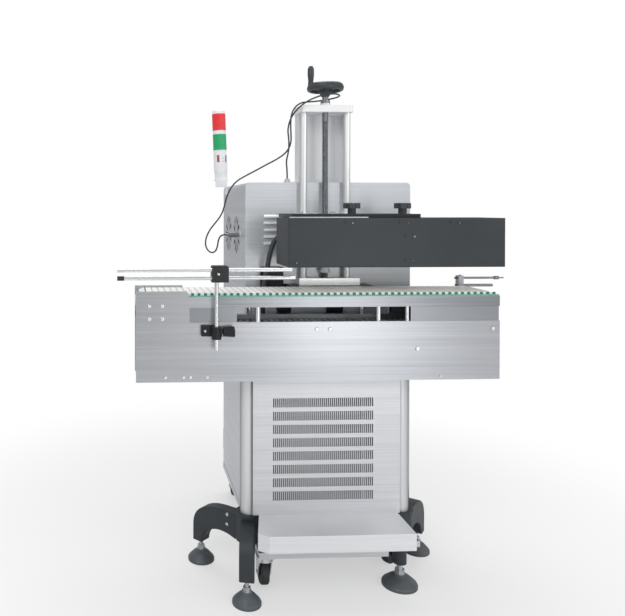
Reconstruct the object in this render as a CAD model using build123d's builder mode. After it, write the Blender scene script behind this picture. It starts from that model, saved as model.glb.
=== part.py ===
"""Cap sealing machine: a slat-chain conveyor on two tube legs in front of a power cabinet on castors.

Millimetres, +Z up, origin on the floor under the middle of the machine. Every place below is
given from the conveyor: x from the middle of its length, y back from its front face, z from
the floor. The three functions level, across and along turn those places into planes.
"""

from build123d import *
import math
import os

os.makedirs("parts", exist_ok=True)

# The conveyor's middle and front face, seen from the origin.
mid_x = -30.5
front_y = -326.0

# Conveyor
conveyor_half = 540.0
conveyor_width = 160.0
conveyor_bottom = 629.0
window_bottom = 803.0
window_top = 846.0
rail_top = 877.0
infeed_block_top = 894.0
infeed_block_end = -384.0
rail_seam = -311.0
window_left = -245.0
window_right = 272.0
sheet = 2.0
flange = 20.0

# Slat chain
chain_pitch = 19.05
chain_width = 146.0
chain_top = 888.0
pin_line = 882.0
nose_radius = 24.9
nose_x = 509.0
shaft_x = 440.0
shaft_z = 809.0
shaft_radius = 10.0
running_gap = 0.06

# Stand
tube_radius = 25.4
tube_x = {"left": -196.0, "right": 273.0}
tube_y = 80.0
tube_bottom = 165.0
tube_top = 660.0

# Cabinet
cabinet_left = -174.0
cabinet_right = 378.0
cabinet_front = 250.0
cabinet_back = 718.0
cabinet_bottom = 118.0
cabinet_top = 1221.0
base_bottom = 100.0
door_top = 798.0

# Lower cabinet under the conveyor, and its tray
lower_left = -156.0
lower_right = 233.0
face_left = -181.0
face_right = 257.0
lower_front = 40.0
lower_top = 620.0
base_outline = (
    (-176, 12), (212, 12), (212, 62), (330, 62), (330, 275), (374, 275), (374, 714), (-176, 714),
)
tray_top = 217.5
tray_height = 48.0
tray_outline = ((-171, 42), (-197, -72), (-169, -92), (250, -92), (250, 42))

# Gantry
gantry_x = 85.0
gantry_y = 230.0
column_gap = 143.5
column_radius = 11.0
screw_radius = 10.0
gantry_floor = 887.0
block_top = 909.0
top_plate_low = 1448.0
top_plate_high = 1470.0

# Sealing head
head_left = -93.0
head_right = 556.0
head_bottom = 962.0
head_top = 1107.0
head_depth = 156.0
carriage_low = 968.0
carriage_high = 1119.0
knob_x = {"left": 118.0, "right": 275.0}
knob_y = 70.0


def level(z):
    """Level plane at height z, seen from above."""
    return Plane(origin=(mid_x, front_y, z))


def across(y):
    """Upright plane at depth y, seen from the front; an extrusion comes forward."""
    return Plane(origin=(mid_x, front_y + y, 0), x_dir=(1, 0, 0), z_dir=(0, -1, 0))


def along(x):
    """Upright plane at x, seen from the right, with depth running to its right."""
    return Plane(origin=(mid_x + x, front_y, 0), x_dir=(0, 1, 0), z_dir=(1, 0, 0))


def write(piece, label):
    """Names a finished piece and writes its file."""
    piece.label = label
    export_step(piece, f"parts/{label}.step")


def block(left, right, front, back, low, high, mode=Mode.ADD):
    """A plain block between six faces, for use inside a part."""
    with BuildSketch(level(low)) as outline:
        with Locations(((left + right) / 2, (front + back) / 2)):
            Rectangle(right - left, back - front)
    extrude(outline.sketch, amount=high - low, mode=mode)


def upright(x, y, radius, low, high, mode=Mode.ADD):
    """A vertical round bar or hole."""
    with BuildSketch(level(low)) as outline:
        with Locations((x, y)):
            Circle(radius)
    extrude(outline.sketch, amount=high - low, mode=mode)


def crosswise(x, z, radius, front, back, mode=Mode.ADD):
    """A round bar or hole that runs from front to back."""
    with BuildSketch(across(back)) as outline:
        with Locations((x, z)):
            Circle(radius)
    extrude(outline.sketch, amount=back - front, mode=mode)


def lengthwise(y, z, radius, left, right, mode=Mode.ADD):
    """A round bar or hole that runs along the conveyor."""
    with BuildSketch(along(left)) as outline:
        with Locations((y, z)):
            Circle(radius)
    extrude(outline.sketch, amount=right - left, mode=mode)


# Conveyor side plates: folded sheet, a full-height block at the infeed end, an open window
# under the top rail, backing sheets at both ends of the window and bosses for the shafts.
plate_screws = [
    (-501, 851, 5), (-463, 851, 5), (-501, 814, 5), (-463, 814, 5),
    (-454, 643, 4), (-401, 643, 4), (-381, 643, 4), (-332, 643, 4),
    (-9, 781, 5), (30, 781, 5), (292, 721, 6), (519, 779, 5), (361, 640, 3),
]


outfeed_post_x = 508.0
outfeed_post_z = 850.0
outfeed_y = 171.0
outfeed_rod_y = 179.0
outfeed_rod_z = (911.0, 887.0)
outfeed_rod_radius = (3.6, 4.6)


def side_plate(at_front):
    """Front plate, or its mirror image at the back."""
    outer = 0.0 if at_front else conveyor_width
    inward = 1 if at_front else -1

    def span(near, far):
        """Depths measured in from the outer face, in rising order."""
        return sorted((outer + inward * near, outer + inward * far))

    with BuildPart() as plate:
        with BuildSketch(across(span(0, sheet)[1])):
            with BuildLine():
                Polyline(
                    (-conveyor_half, conveyor_bottom),
                    (conveyor_half, conveyor_bottom),
                    (conveyor_half, window_bottom),
                    (infeed_block_end, window_bottom),
                    (infeed_block_end, window_top),
                    (rail_seam, window_top),
                    (rail_seam, rail_top),
                    (infeed_block_end, rail_top),
                    (infeed_block_end - 8, infeed_block_top),
                    (-conveyor_half, infeed_block_top),
                    close=True,
                )
            make_face()
        extrude(amount=sheet)
        block(window_left, window_right, *span(sheet, flange), window_bottom - sheet, window_bottom)
        block(-conveyor_half, conveyor_half, *span(sheet, 17), conveyor_bottom, conveyor_bottom + sheet)
        block(infeed_block_end - 6, window_left, *span(sheet, 2 * sheet), 795, 850)
        block(window_right, conveyor_half - 2, *span(sheet, 2 * sheet), 795, window_top - 0.5)
        for x in (-shaft_x, shaft_x):
            crosswise(x, shaft_z, 20, *span(sheet, 6.6))
        for x, z, radius in plate_screws:
            crosswise(x, z, radius, *span(-2.5, 0))
        for x in (-shaft_x, shaft_x):
            through = x > 0 and not at_front
            crosswise(x, shaft_z, shaft_radius + running_gap, *span(-1 if through else sheet, 7), Mode.SUBTRACT)
        if not at_front:
            crosswise(outfeed_post_x, outfeed_post_z, 11, *span(-18, 0))
            upright(outfeed_post_x, outfeed_y, 4, 840, 922)
            block(outfeed_post_x - 8, outfeed_post_x + 8, outfeed_y - 7, outfeed_y + 15, 879, 919)
            for z, radius in zip(outfeed_rod_z, outfeed_rod_radius):
                hole = radius + running_gap
                lengthwise(outfeed_rod_y, z, hole, outfeed_post_x - 9, outfeed_post_x + 9, Mode.SUBTRACT)
    return plate.part


write(side_plate(True), "conveyor_front_plate")
write(side_plate(False), "conveyor_rear_plate")

# Belly pan of the conveyor, with its ends folded up and sockets for the two tubes.
with BuildPart() as conveyor_pan:
    block(-538, 538, sheet, conveyor_width - sheet, 631, 633)
    for end in (-1, 1):
        block(*sorted((end * 536, end * 538)), sheet, conveyor_width - sheet, 633, 795)
    for x in tube_x.values():
        upright(x, tube_y, 38, 633, tube_top)
    for x in tube_x.values():
        upright(x, tube_y, tube_radius, 620, tube_top, Mode.SUBTRACT)
write(conveyor_pan.part, "conveyor_pan")

# Top rails: channels that carry the chain, front and back.
with BuildPart() as top_rails:
    for front, back, inner_top, inner_low in (
        (0, sheet, (sheet, 24), (sheet, flange)),
        (conveyor_width - sheet, conveyor_width, (136, 158), (140, 158)),
    ):
        block(rail_seam, conveyor_half, front, back, window_top, rail_top)
        block(-470, 470, *inner_top, rail_top - sheet, rail_top)
        block(window_left, window_right, *inner_low, window_top, window_top + sheet)
write(top_rails.part, "top_rails")

# Wear strips: green low-friction strips clipped over the rails.
with BuildPart() as wear_strips:
    for edge, inner in (((0.3, 6), (6, 24)), ((154, 159.7), (136, 154))):
        block(infeed_block_end + 2, conveyor_half - 2, *edge, rail_top, 880.6)
        block(-468, 468, *inner, rail_top, 880)
write(wear_strips.part, "wear_strips")

# Spacer posts between the lower flange and the top rail, front and back.
with BuildPart() as spacer_posts:
    for x, radius in ((-182, 9), (178, 7), (265, 6.5)):
        for y in (11, conveyor_width - 11):
            upright(x, y, radius, window_bottom, window_top)
write(spacer_posts.part, "spacer_posts")


# Slat chain: one loop of links round two nose guides above and two shafts below.
def loop_corners():
    """Centres of the four rounded corners, clockwise from the upper left."""
    nose_z = pin_line - nose_radius
    return [(-nose_x, nose_z), (nose_x, nose_z), (shaft_x, shaft_z), (-shaft_x, shaft_z)]


def loop_pieces():
    """Straight runs and arcs of the pin line as (kind, length, data)."""
    corners = loop_corners()
    headings = []
    for (x0, z0), (x1, z1) in zip(corners, corners[1:] + corners[:1]):
        headings.append(math.atan2(z1 - z0, x1 - x0))
    pieces = []
    for index, heading in enumerate(headings):
        (x0, z0), (x1, z1) = corners[index], corners[(index + 1) % 4]
        run = math.hypot(x1 - x0, z1 - z0)
        start = (x0 - nose_radius * math.sin(heading), z0 + nose_radius * math.cos(heading))
        pieces.append(("run", run, start, heading))
        turn = (heading - headings[(index + 1) % 4]) % (2 * math.pi)
        pieces.append(("arc", nose_radius * turn, (x1, z1), heading))
    return pieces


def loop_point(distance):
    """Place and heading of the pin line at a distance along the loop."""
    for kind, length, place, heading in loop_pieces():
        if distance <= length:
            break
        distance -= length
    if kind == "run":
        x = place[0] + distance * math.cos(heading)
        z = place[1] + distance * math.sin(heading)
        return x, z, heading
    heading -= distance / nose_radius
    x = place[0] - nose_radius * math.sin(heading)
    z = place[1] + nose_radius * math.cos(heading)
    return x, z, heading


loop_length = sum(piece[1] for piece in loop_pieces())
link_count = int(loop_length // chain_pitch)
slat_rise = chain_top - pin_line
link_planes = []
for index in range(link_count):
    x, z, heading = loop_point((index + 0.5) * loop_length / link_count)
    link_planes.append(
        Plane(
            origin=(mid_x + x, front_y + (conveyor_width - chain_width) / 2, z),
            x_dir=(math.cos(heading), 0, math.sin(heading)),
            z_dir=(0, -1, 0),
        )
    )

with BuildPart() as link:
    with BuildSketch(Plane.XY):
        with BuildLine():
            Polyline(
                (-9.1, slat_rise), (-9.1, slat_rise - 2.2), (-5.2, slat_rise - 2.2), (-5.2, -2),
                (5.2, -2), (5.2, slat_rise - 2.2), (9.1, slat_rise - 2.2), (9.1, slat_rise),
                close=True,
            )
        make_face()
    extrude(amount=-chain_width)

with BuildPart() as slat_chain:
    with Locations(*link_planes):
        add(link.part)
write(slat_chain.part, "slat_chain")

# Nose guides: round plastic guides on fixed axles at both ends of the top run.
with BuildPart() as nose_guides:
    for x in (-nose_x, nose_x):
        crosswise(x, pin_line - nose_radius, 22.5, 26, 134)
        crosswise(x, pin_line - nose_radius, 6, sheet, conveyor_width - sheet)
    block(nose_x - 12, nose_x + 12, sheet, 2 * sheet, window_top - 0.5, window_top + 4, Mode.SUBTRACT)
write(nose_guides.part, "nose_guides")


def chain_shaft(back_end):
    """Shaft with two notched wheels that the chain turns on."""
    with BuildPart() as shaft:
        crosswise(0, shaft_z, shaft_radius, sheet + 0.3, back_end)
        for y in (40, 104):
            with BuildSketch(across(y + 16)):
                with Locations((0, shaft_z)):
                    Circle(22.5)
                    with PolarLocations(24.5, 8, start_angle=22.5):
                        Circle(5, mode=Mode.SUBTRACT)
            extrude(amount=16)
    return shaft


drive = chain_shaft(236)
idler = chain_shaft(conveyor_width - sheet - 0.3)
write(drive.part.moved(Location((shaft_x, 0, 0))), "drive_shaft")
write(idler.part.moved(Location((-shaft_x, 0, 0))), "idler_shaft")

# Gear motor behind the outfeed end, hung from the drive shaft.
motor_y = 203.0
with BuildPart() as gear_motor:
    block(shaft_x - 45, shaft_x + 45, 163, 231, shaft_z - 45, shaft_z + 45)
    fillet(gear_motor.edges().filter_by(Axis.Y), radius=8)
    crosswise(shaft_x, shaft_z, 30, conveyor_width, 163)
    upright(shaft_x, motor_y, 32, 752, 764)
    upright(shaft_x, motor_y, 41, 648, 752)
    upright(shaft_x, motor_y, 36, 636, 648)
    block(shaft_x + 38, shaft_x + 58, 172, 222, 680, 730)
    crosswise(shaft_x, shaft_z, shaft_radius + running_gap, 150, 240, Mode.SUBTRACT)
write(gear_motor.part, "gear_motor")

# Stand: two tubes, each in a cast base with two arms, and four levelling feet.
with BuildPart() as stand_tubes:
    for x in tube_x.values():
        upright(x, tube_y, tube_radius, tube_bottom, tube_top)
    for x in tube_x.values():
        upright(x, tube_y, tube_radius - 2, tube_bottom, tube_top, Mode.SUBTRACT)
write(stand_tubes.part, "stand_tubes")

foot_places = {
    "left": ((-222.0, -36.0, 42.0, 6.0), (-324.0, 212.0, 42.0, 6.0)),
    "right": ((256.0, 38.0, 52.0, 8.0), (394.0, 232.0, 42.0, 6.0)),
}
hub_radius = 37.5
hub_low = 128.0
hub_high = 213.0
collar_radius = 39.5
arm_end = 68.0
arm_half = 22.0


def leg_base(side):
    """Cast hub with a collar for the tube and arched arms that come down over the feet."""
    x = tube_x[side]
    with BuildPart() as base:
        upright(x, tube_y, hub_radius, hub_low, hub_high)
        upright(x, tube_y, collar_radius, hub_high - 10, hub_high)
        for foot_x, foot_y, _, _ in foot_places[side]:
            reach = math.hypot(foot_x - x, foot_y - tube_y)
            if reach > 2 * hub_radius:
                out_x, out_y = (foot_x - x) / reach, (foot_y - tube_y) / reach
                arm_plane = Plane(
                    origin=(mid_x + x, front_y + tube_y, 0), x_dir=(out_x, out_y, 0), z_dir=(out_y, -out_x, 0)
                )
                with BuildSketch(arm_plane):
                    with BuildLine():
                        Line((20, hub_low), (20, 200))
                        Line((20, 200), (0.45 * reach, 197))
                        Bezier((0.45 * reach, 197), (0.85 * reach, 195), (reach + 18, 170), (reach + 18, 118))
                        Line((reach + 18, 118), (reach + 18, arm_end))
                        Line((reach + 18, arm_end), (reach - 18, arm_end))
                        Bezier((reach - 18, arm_end), (reach - 20, 112), (0.6 * reach, 146), (38, 122))
                        Line((38, 122), (20, hub_low))
                    make_face()
                extrude(amount=arm_half, both=True)
            else:
                upright(foot_x, foot_y, 20, arm_end, hub_low + 14)
        for foot_x, foot_y, _, stem in foot_places[side]:
            upright(foot_x, foot_y, stem + running_gap, arm_end - 1, 112, Mode.SUBTRACT)
        long_edges = base.edges().filter_by(GeomType.BEZIER)
        fillet(long_edges, radius=5)
        upright(x, tube_y, tube_radius, tube_bottom, hub_high + 1, Mode.SUBTRACT)
    return base.part


write(leg_base("left"), "leg_base_left")
write(leg_base("right"), "leg_base_right")


def foot(x, y, pad, stem):
    """Levelling foot: a coned pad with a rim, a lock nut and a threaded stem."""
    half = Plane(origin=(mid_x + x, front_y + y, 0), x_dir=(1, 0, 0), z_dir=(0, -1, 0))
    with BuildSketch(half) as profile:
        with BuildLine():
            Polyline(
                (0, 0), (pad, 0), (pad, 7), (pad - 2.5, 11), (0.62 * pad, 25), (stem + 9, 33),
                (stem + 8, 38), (stem, 38), (stem, 108), (0, 108), close=True,
            )
        make_face()
    revolve(profile.sketch, axis=Axis((mid_x + x, front_y + y, 0), (0, 0, 1)))
    with BuildSketch(level(38)) as nut:
        with Locations((x, y)):
            RegularPolygon(stem * 1.9, 6)
    extrude(nut.sketch, amount=11)


with BuildPart() as feet_front:
    foot(*foot_places["left"][0])
    foot(*foot_places["right"][0])
write(feet_front.part, "feet_front")

with BuildPart() as feet_rear:
    foot(*foot_places["left"][1])
    foot(*foot_places["right"][1])
write(feet_rear.part, "feet_rear")

# Castors: a swivelling fork with its axle, and a wheel, at each corner of the cabinet.
wheel_radius = 37.5
trail = 18.0
castors = {
    "left": (-153.0, 46.0, 90.0),
    "right": (264.0, 155.0, 35.0),
    "rear_left": (-135.0, 670.0, 90.0),
    "rear_right": (339.0, 670.0, 90.0),
}


def castor_plane(name):
    """Plane at the castor's swivel, with its local x along the trail."""
    x, y, heading = castors[name]
    turn = math.radians(heading)
    return Plane(
        origin=(mid_x + x, front_y + y, 0), x_dir=(math.cos(turn), math.sin(turn), 0), z_dir=(0, 0, 1)
    )


def castor_fork(name):
    """Pressed fork: raceway, crown, two cheeks and the axle."""
    plane = castor_plane(name)
    with BuildPart() as fork:
        with BuildSketch(plane.offset(82)):
            Circle(25)
        extrude(amount=12)
        with BuildSketch(plane.offset(79)):
            with Locations((trail / 2, 0)):
                Rectangle(50, 40)
        extrude(amount=3)
        side = Plane(origin=plane.origin, x_dir=plane.x_dir, z_dir=-plane.y_dir)
        for cheek in (-20, 17):
            with BuildSketch(side.offset(cheek)):
                with BuildLine():
                    Polyline(
                        (trail / 2 - 25, 82), (trail / 2 + 25, 82), (trail + 10, 30), (trail - 10, 30), close=True
                    )
                make_face()
            extrude(amount=3)
        with BuildSketch(side.offset(-22)):
            with Locations((trail, wheel_radius)):
                Circle(5)
        extrude(amount=44)
    return fork.part


def castor_wheel(name):
    """Rubber-tyred wheel with a raised rim."""
    plane = castor_plane(name)
    with BuildPart() as wheel:
        with BuildSketch(plane.offset(wheel_radius)):
            with BuildLine():
                Polyline(
                    (trail + 5.05, -15), (trail + 13, -15), (trail + 13, -10), (trail + 27, -10),
                    (trail + 27, -12.5), (trail + 34, -12.5), (trail + wheel_radius, -8),
                    (trail + wheel_radius, 8), (trail + 34, 12.5), (trail + 27, 12.5), (trail + 27, 10),
                    (trail + 13, 10), (trail + 13, 15), (trail + 5.05, 15), close=True,
                )
            make_face()
        centre = plane.origin + plane.x_dir * trail
        revolve(axis=Axis((centre.X, centre.Y, wheel_radius), plane.y_dir))
    return wheel.part


for name in ("left", "right"):
    write(castor_fork(name), f"castor_fork_{name}")
    write(castor_wheel(name), f"castor_wheel_{name}")

with BuildPart() as rear_castors:
    for name in ("rear_left", "rear_right"):
        add(castor_fork(name))
        add(castor_wheel(name))
write(rear_castors.part, "rear_castors")

# Cabinet base: a folded pan under both cabinets with a mounting plate for each castor.
with BuildPart() as cabinet_base:
    with BuildSketch(level(base_bottom)):
        with BuildLine():
            Polyline(*base_outline, close=True)
        make_face()
    extrude(amount=cabinet_bottom - base_bottom)
    offset(amount=-3, openings=[cabinet_base.faces().sort_by(Axis.Z)[-1]])
    for x, y, _ in castors.values():
        block(x - 26, x + 26, y - 26, y + 26, 94, base_bottom)
write(cabinet_base.part, "cabinet_base")

hinge_x = -168.0
hinge_y = cabinet_back + 8
knuckles = (200.0, 700.0)

# Cabinet: folded brushed sheet with round top corners, louvres, two fan grilles and a gland.
fan_y = (424.0, 593.0)
fan_z = 1041.0
fan_radius = 68.0
louvre_z = (1109.0, 1087.0, 1064.0, 1042.0, 1020.0)
louvre_left = -113.0
louvre_length = 92.0
gland_x = -31.0
gland_y = 268.0
plug_y = 352.0
plug_z = 1045.0

with BuildPart() as cabinet_shell:
    block(cabinet_left, cabinet_right, cabinet_front, cabinet_back, cabinet_bottom, cabinet_top)
    top_edges = cabinet_shell.edges().filter_by(Axis.Y).group_by(Axis.Z)[-1]
    fillet(top_edges, radius=14)
    rear_face = cabinet_shell.faces().sort_by(Axis.Y)[-1]
    floor_face = cabinet_shell.faces().sort_by(Axis.Z)[0]
    offset(amount=-sheet, openings=[rear_face, floor_face])
    block(-140, 215, cabinet_front - 1, cabinet_front + sheet + 1, 140, 600, Mode.SUBTRACT)
    for z in louvre_z:
        with BuildSketch(along(louvre_left)):
            with BuildLine():
                Polyline(
                    (cabinet_front, z + 6), (cabinet_front - 5, z + 1), (cabinet_front - 6, z - 4),
                    (cabinet_front, z - 4), close=True,
                )
            make_face()
        extrude(amount=louvre_length)
        block(
            louvre_left + 3, louvre_left + louvre_length - 3,
            cabinet_front - 4, cabinet_front + 3, z - 5, z - 1, Mode.SUBTRACT,
        )
    for y in fan_y:
        with BuildSketch(along(cabinet_left - 1)):
            with Locations((y, fan_z)):
                with PolarLocations(0, 12):
                    Polygon(
                        (20, -2.5), (40, -8.5), (62, -12), (fan_radius, 0), (62, 6), (40, 3), (20, 2.5),
                        align=None,
                    )
        extrude(amount=4, mode=Mode.SUBTRACT)
    upright(gland_x, gland_y, 11, cabinet_top, 1226)
    upright(gland_x, gland_y, 8, 1226, 1234)
    lengthwise(plug_y, plug_z, 13, cabinet_left - 3, cabinet_left)
    for z in knuckles:
        block(cabinet_left, hinge_x, cabinet_back - 2, hinge_y, z + 30.3, z + 50)
        upright(hinge_x, hinge_y, 6, z + 30.3, z + 50)
        upright(hinge_x, hinge_y, 2.5, z - 30, z + 31)
    block(-150, -98, 200, cabinet_front, 740, 790)
write(cabinet_shell.part, "cabinet_shell")

# Rear door: folded sheet that closes the lower rear of the cabinet, with hinge knuckles and a lock.
with BuildPart() as rear_door:
    block(hinge_x + 1, cabinet_right, cabinet_back, cabinet_back + sheet, cabinet_bottom + 2, door_top)
    block(-150, 366, 702, cabinet_back, cabinet_bottom + 16, door_top - 8)
    block(-148, 364, 700, cabinet_back, cabinet_bottom + 18, door_top - 10, Mode.SUBTRACT)
    for z in knuckles:
        block(hinge_x - 2, hinge_x + 40, cabinet_back + sheet, cabinet_back + 4, z - 30, z + 30)
        upright(hinge_x, hinge_y, 6, z - 30, z + 30)
        upright(hinge_x, hinge_y, 2.5 + running_gap, z - 31, z + 31, Mode.SUBTRACT)
    block(330, 360, cabinet_back + sheet, cabinet_back + 10, 430, 520)
    block(338, 352, cabinet_back + 10, cabinet_back + 16, 440, 510)
    for row in range(6):
        block(0, 200, cabinet_back - 1, cabinet_back + 3, 200 + 18 * row, 206 + 18 * row, Mode.SUBTRACT)
write(rear_door.part, "rear_door")

# Control panel: upper rear sheet with display, and seats for two buttons and the main switch.
button_z = 960.0
start_x = 250.0
stop_x = 310.0
switch_x = -90.0
button_radius = 11.0

with BuildPart() as control_panel:
    block(cabinet_left, cabinet_right, cabinet_back, cabinet_back + sheet, door_top + 2, cabinet_top)
    fillet(control_panel.edges().filter_by(Axis.Y).group_by(Axis.Z)[-1], radius=14)
    block(-20, 190, cabinet_back + sheet, cabinet_back + 8, 940, 1090)
    block(-6, 176, cabinet_back + 6, cabinet_back + 9, 960, 1076, Mode.SUBTRACT)
    crosswise(start_x, button_z, 16, cabinet_back + sheet, cabinet_back + 6)
    crosswise(stop_x, button_z, 18, cabinet_back + sheet, cabinet_back + 6)
    crosswise(switch_x, button_z, 28, cabinet_back + sheet, cabinet_back + 5)
    crosswise(start_x, button_z, button_radius + 0.1, 710, cabinet_back + 7, Mode.SUBTRACT)
    crosswise(stop_x, button_z, 8.1, 710, cabinet_back + 7, Mode.SUBTRACT)
    crosswise(switch_x, button_z, 6.06, 710, cabinet_back + 7, Mode.SUBTRACT)
write(control_panel.part, "control_panel")

with BuildPart() as start_button:
    crosswise(start_x, button_z, button_radius, cabinet_back - 4, cabinet_back + 11)
write(start_button.part, "start_button")

with BuildPart() as emergency_stop:
    crosswise(stop_x, button_z, 8, cabinet_back - 6, cabinet_back + 14)
    crosswise(stop_x, button_z, 20, cabinet_back + 14, cabinet_back + 26)
    fillet(emergency_stop.edges().sort_by(Axis.Y)[-1], radius=5)
write(emergency_stop.part, "emergency_stop")

with BuildPart() as main_switch:
    crosswise(switch_x, button_z, 6, cabinet_back - 6, cabinet_back + 6)
    crosswise(switch_x, button_z, 22, cabinet_back + 5.5, cabinet_back + 14)
    block(switch_x - 6, switch_x + 6, cabinet_back + 14, cabinet_back + 26, button_z - 22, button_z + 22)
write(main_switch.part, "main_switch")

# Power unit inside the cabinet: generator case with a finned heat sink and two capacitors.
with BuildPart() as power_unit:
    block(-80, 250, 300, 560, cabinet_bottom, 470)
    for fin in range(9):
        block(-60 + 22 * fin, -56 + 22 * fin, 330, 530, 470, 520)
write(power_unit.part, "power_unit")

with BuildPart() as capacitors:
    for y in (370, 470):
        upright(200, y, 32, 470, 560)
write(capacitors.part, "capacitors")

# Cooling fans inside the left wall: two square frames, each with a bladed rotor.
with BuildPart() as fan_frames:
    for y in fan_y:
        block(cabinet_left + sheet, cabinet_left + 27, y - 75, y + 75, fan_z - 75, fan_z + 75)
        lengthwise(y, fan_z, 70, cabinet_left + sheet, cabinet_left + 30, Mode.SUBTRACT)
        block(cabinet_left + 24, cabinet_left + 27, y - 72, y + 72, fan_z - 5, fan_z + 5)
write(fan_frames.part, "fan_frames")


def fan_rotor(y):
    """Hub with seven pitched blades."""
    with BuildPart() as rotor:
        lengthwise(y, fan_z, 24, cabinet_left + 4, cabinet_left + 23)
        for blade in range(7):
            turn = 2 * math.pi * blade / 7
            out = (0, math.cos(turn), math.sin(turn))
            root = Plane(
                origin=(mid_x + cabinet_left + 13.5, front_y + y, fan_z),
                x_dir=(0.75, -0.66 * math.sin(turn), 0.66 * math.cos(turn)),
                z_dir=out,
            )
            with BuildSketch(root.offset(20)):
                Rectangle(22, 2.5)
            extrude(amount=46)
    return rotor.part


write(fan_rotor(fan_y[0]), "fan_rotor_front")
write(fan_rotor(fan_y[1]), "fan_rotor_rear")

# Lower front cabinet: folded sheet under the conveyor with eight rows of upright vent slots.
vent_left = -129.0
vent_right = 177.0
vent_top = 567.0
vent_height = 27.0
vent_row_pitch = 39.9
vent_rows = 8
vent_slots = 27
slot_width = 4.4

with BuildPart() as vented_front_panel:
    block(lower_left, lower_right, lower_front + sheet, cabinet_front, cabinet_bottom, lower_top)
    block(face_left, face_right, lower_front, lower_front + sheet, tray_top, lower_top)
    block(
        lower_left + sheet, lower_right - sheet, lower_front + sheet, cabinet_front,
        cabinet_bottom, lower_top - sheet, Mode.SUBTRACT,
    )
    with BuildSketch(across(lower_front + 2 * sheet)):
        middle = (vent_left + vent_right) / 2
        lowest = vent_top - vent_height / 2 - (vent_rows - 1) * vent_row_pitch / 2
        with Locations((middle, lowest)):
            slot_pitch = (vent_right - vent_left - slot_width) / (vent_slots - 1)
            with GridLocations(slot_pitch, vent_row_pitch, vent_slots, vent_rows):
                Rectangle(slot_width, vent_height)
    extrude(amount=2 * sheet, mode=Mode.SUBTRACT)
write(vented_front_panel.part, "vented_front_panel")

# Tray in front of the lower cabinet: folded sheet, its left front corner cut back.
with BuildPart() as tray:
    with BuildSketch(level(tray_top - tray_height)):
        with BuildLine():
            Polyline(*tray_outline, close=True)
        make_face()
    extrude(amount=tray_height)
    under_face = tray.faces().sort_by(Axis.Z)[0]
    back_face = tray.faces().sort_by(Axis.Y)[-1]
    offset(amount=-sheet, openings=[under_face, back_face])
write(tray.part, "tray")

# Gantry bracket: black slab and two tapered gussets bolted to the cabinet's front.
with BuildPart() as gantry_bracket:
    block(-40, 227, 168, cabinet_front, gantry_floor - 22, gantry_floor)
    for top_left, top_right, foot_left, foot_right in ((-78, -12, -62, -36), (92, 160, 100, 138)):
        with BuildSketch(across(cabinet_front)):
            with BuildLine():
                Polyline(
                    (top_left, 866), (top_right, 866), (foot_right, 742), (foot_left, 742), close=True
                )
            make_face()
        extrude(amount=10)
        crosswise((foot_left + foot_right) / 2, 795, 7, cabinet_front - 16, cabinet_front - 10)
    block(-78, -38, 238, cabinet_front, 864, gantry_floor)
write(gantry_bracket.part, "gantry_bracket")

# Base block: bright aluminium seat of the columns and the lead screw.
column_x = (gantry_x - column_gap / 2, gantry_x + column_gap / 2)
with BuildPart() as base_block:
    block(-8, 191, 200, cabinet_front, gantry_floor, block_top)
    upright(gantry_x, gantry_y, screw_radius + running_gap, 895, block_top, Mode.SUBTRACT)
    for x in column_x:
        upright(x, gantry_y, column_radius, 895, block_top, Mode.SUBTRACT)
write(base_block.part, "base_block")

with BuildPart() as guide_columns:
    for x in column_x:
        upright(x, gantry_y, column_radius, 895, top_plate_low + 12)
write(guide_columns.part, "guide_columns")

with BuildPart() as top_plate:
    block(0, 170, 202, 306, top_plate_low, top_plate_high)
    fillet(top_plate.edges().filter_by(Axis.Z), radius=8)
    upright(gantry_x, gantry_y, 17, top_plate_high, 1478)
    upright(gantry_x, gantry_y, screw_radius + running_gap, 1440, 1480, Mode.SUBTRACT)
    for x in column_x:
        upright(x, gantry_y, column_radius, top_plate_low, top_plate_low + 12, Mode.SUBTRACT)
write(top_plate.part, "top_plate")

# Gantry tower: folded channel behind the columns, from the cabinet's top to the top plate.
with BuildPart() as gantry_tower:
    block(4, 166, 256, 304, cabinet_top, top_plate_low)
    block(4 + sheet, 166 - sheet, 250, 304 - sheet, cabinet_top - 1, top_plate_low + 1, Mode.SUBTRACT)
    for left, right in ((-10, 4), (166, 180)):
        block(left, right, 262, 300, cabinet_top, cabinet_top + 3)
write(gantry_tower.part, "gantry_tower")

# Lead screw with its thrust collar, the handwheel on top and the turning handle.
wheel_low = 1518.0
wheel_high = 1543.0
rim_radius = 59.0
handle_reach = 48.0

with BuildPart() as lead_screw:
    upright(gantry_x, gantry_y, screw_radius, 896, 1500)
    upright(gantry_x, gantry_y, 15, 1478.4, 1488)
write(lead_screw.part, "lead_screw")

with BuildPart() as handwheel:
    with BuildSketch(across(gantry_y)):
        with BuildLine():
            Polyline(
                (gantry_x, 1500), (gantry_x + 12, 1500), (gantry_x + 20, 1514), (gantry_x + 22, 1524),
                (gantry_x + 45, 1528), (gantry_x + 47, wheel_low + 2), (gantry_x + 52, wheel_low),
                (gantry_x + 57, wheel_low + 3), (gantry_x + rim_radius, wheel_low + 12),
                (gantry_x + 56, wheel_high - 4), (gantry_x + 51, wheel_high), (gantry_x + 46, wheel_high - 3),
                (gantry_x + 43, 1533), (gantry_x + 20, 1532), (gantry_x + 16, 1540), (gantry_x, 1540),
                close=True,
            )
        make_face()
    revolve(axis=Axis((mid_x + gantry_x, front_y + gantry_y, 0), (0, 0, 1)))
    with BuildSketch(level(1520)):
        with Locations((gantry_x, gantry_y)):
            with PolarLocations(33, 3, start_angle=90):
                SlotOverall(26, 14, rotation=90)
    extrude(amount=20, mode=Mode.SUBTRACT)
    handle_x, handle_y = gantry_x - handle_reach, gantry_y
    upright(handle_x, handle_y, 9, 1530, 1549)
    upright(handle_x, handle_y, 4, 1549, 1596)
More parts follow.
